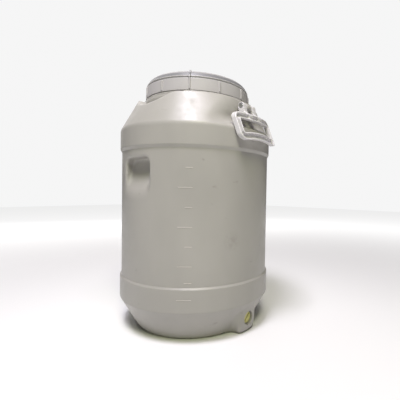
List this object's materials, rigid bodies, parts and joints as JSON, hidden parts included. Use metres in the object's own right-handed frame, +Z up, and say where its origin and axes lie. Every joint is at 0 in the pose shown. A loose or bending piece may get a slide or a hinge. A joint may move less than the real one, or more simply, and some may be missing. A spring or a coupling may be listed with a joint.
{
  "type": "plastic fermenting drum",
  "caption": "Wide-mouth blow-moulded plastic fermenting drum with a ribbed screw lid, swing handles, recessed hand grips, raised volume marks and a plugged tap boss near the base.",
  "frame": {"origin": "centre of the base, on the ground", "axes": "+Z up along the drum's axis; -Y towards the tap boss and the front handle; -X and +X towards the hand grips"},
  "size_m": [0.4009, 0.4494, 0.636],
  "materials": {
    "drum_hdpe": "satin translucent natural polyethylene",
    "lid_hdpe": "satin white polyethylene",
    "handle_white": "semi-gloss white",
    "gasket_rubber": "matte",
    "black_rubber": "matte",
    "pin_steel": "zinc plated",
    "plug_yellow": "semi-gloss"
  },
  "bodies": {
    "drum": {"drum": "drum_hdpe", "front_hinge_pin": "pin_steel", "rear_hinge_pin": "pin_steel", "front_pin_clip": "pin_steel", "rear_pin_clip": "pin_steel"},
    "lid_gasket": {"lid_gasket": "gasket_rubber"},
    "lid": {"lid": "lid_hdpe", "airlock_grommet": "black_rubber"},
    "front_handle": {"front_handle": "handle_white"},
    "rear_handle": {"rear_handle": "handle_white"},
    "tap_plug_seal": {"tap_plug_seal": "black_rubber"},
    "tap_plug": {"tap_plug": "plug_yellow"}
  },
  "joints": [
    {"name": "lid_rise", "type": "slide", "parent": "drum", "child": "lid_gasket", "axis": [0, 0, 1], "range_m": [0, 0.0481]},
    {"name": "lid_turn", "type": "hinge", "parent": "lid_gasket", "child": "lid", "pos_m": [0, 0, 0.6], "axis": [0, 0, 1], "range_deg": [0, 1440]},
    {"name": "front_handle_swing", "type": "hinge", "parent": "drum", "child": "front_handle", "pos_m": [0, -0.172, 0.556], "axis": [-1, 0, 0], "range_deg": [0, 160]},
    {"name": "rear_handle_swing", "type": "hinge", "parent": "drum", "child": "rear_handle", "pos_m": [0, 0.172, 0.556], "axis": [1, 0, 0], "range_deg": [0, 160]},
    {"name": "plug_travel", "type": "slide", "parent": "drum", "child": "tap_plug_seal", "axis": [0, -1, 0], "range_m": [0, 0.0201]},
    {"name": "plug_turn", "type": "hinge", "parent": "tap_plug_seal", "child": "tap_plug", "pos_m": [0, -0.18, 0.035], "axis": [0, -1, 0], "range_deg": [0, 1440]}
  ],
  "couplings": [
    {"joint": "lid_rise", "follows": "lid_turn", "m_per_rad": 0.0019099},
    {"joint": "plug_travel", "follows": "plug_turn", "m_per_rad": 0.00079577}
  ]
}
